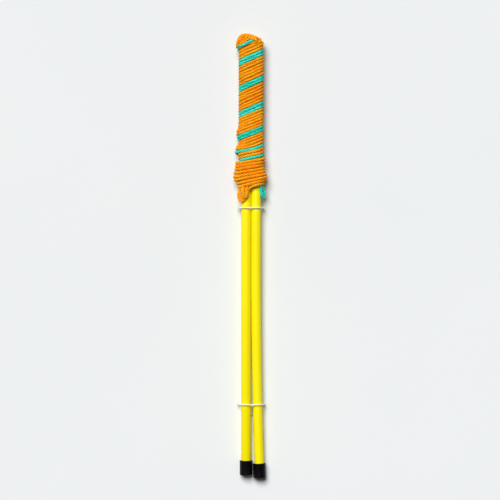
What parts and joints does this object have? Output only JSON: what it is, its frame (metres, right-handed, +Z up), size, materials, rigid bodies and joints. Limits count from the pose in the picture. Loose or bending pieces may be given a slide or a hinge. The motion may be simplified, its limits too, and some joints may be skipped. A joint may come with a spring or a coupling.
{
  "type": "bubble wand",
  "caption": "Long tube sticks with push-on end caps. The cords strung between their tips are wound round both and held with twisted ties: a giant loop bubble wand, packed up.",
  "frame": {"origin": "centre of the floor rectangle under the part as it lies, winding at +Y, on the floor", "axes": "+Y along the sticks to the tips that carry the cords, +Z up from the floor to the side with the end loops, +X to the right stick"},
  "size_m": [0.0316, 0.4609, 0.0223],
  "materials": {
    "stick_plastic": "glossy",
    "cap_vinyl": "satin",
    "bush_plastic": "satin",
    "orange_cord": "matt",
    "green_cord": "matt",
    "tie_plastic": "satin, a little see-through"
  },
  "bodies": {
    "left_stick_and_cords": {"left_stick": "stick_plastic", "left_tip_bush": "bush_plastic", "left_stopper_knot": "orange_cord", "right_stopper_knot": "orange_cord", "green_cord": "green_cord", "orange_cord_1": "orange_cord", "orange_cord_2": "orange_cord", "orange_long_cord": "orange_cord"},
    "right_stick_and_bush": {"right_stick": "stick_plastic", "right_tip_bush": "bush_plastic"},
    "left_cap": {"left_end_cap": "cap_vinyl"},
    "right_cap": {"right_end_cap": "cap_vinyl"},
    "tie_above": {"upper_tie": "tie_plastic"},
    "tie_below": {"lower_tie": "tie_plastic"}
  },
  "joints": [
    {"name": "right_stick_slide", "type": "slide", "parent": "left_stick_and_cords", "child": "right_stick_and_bush", "axis": [0, -0.9999, -0.0147], "range_m": [0, 0.003]},
    {"name": "left_cap_pull", "type": "slide", "parent": "left_stick_and_cords", "child": "left_cap", "axis": [0, -0.9999, -0.0147], "range_m": [0, 0.018]},
    {"name": "right_cap_pull", "type": "slide", "parent": "right_stick_and_bush", "child": "right_cap", "axis": [0.0333, -0.9993, -0.0147], "range_m": [0, 0.018]},
    {"name": "upper_tie_slide", "type": "slide", "parent": "left_stick_and_cords", "child": "tie_above", "axis": [0, 0.9999, 0.0147], "range_m": [-0.04, 0.003]},
    {"name": "lower_tie_slide", "type": "slide", "parent": "left_stick_and_cords", "child": "tie_below", "axis": [0, 0.9999, 0.0147], "range_m": [-0.01, 0.06]}
  ]
}
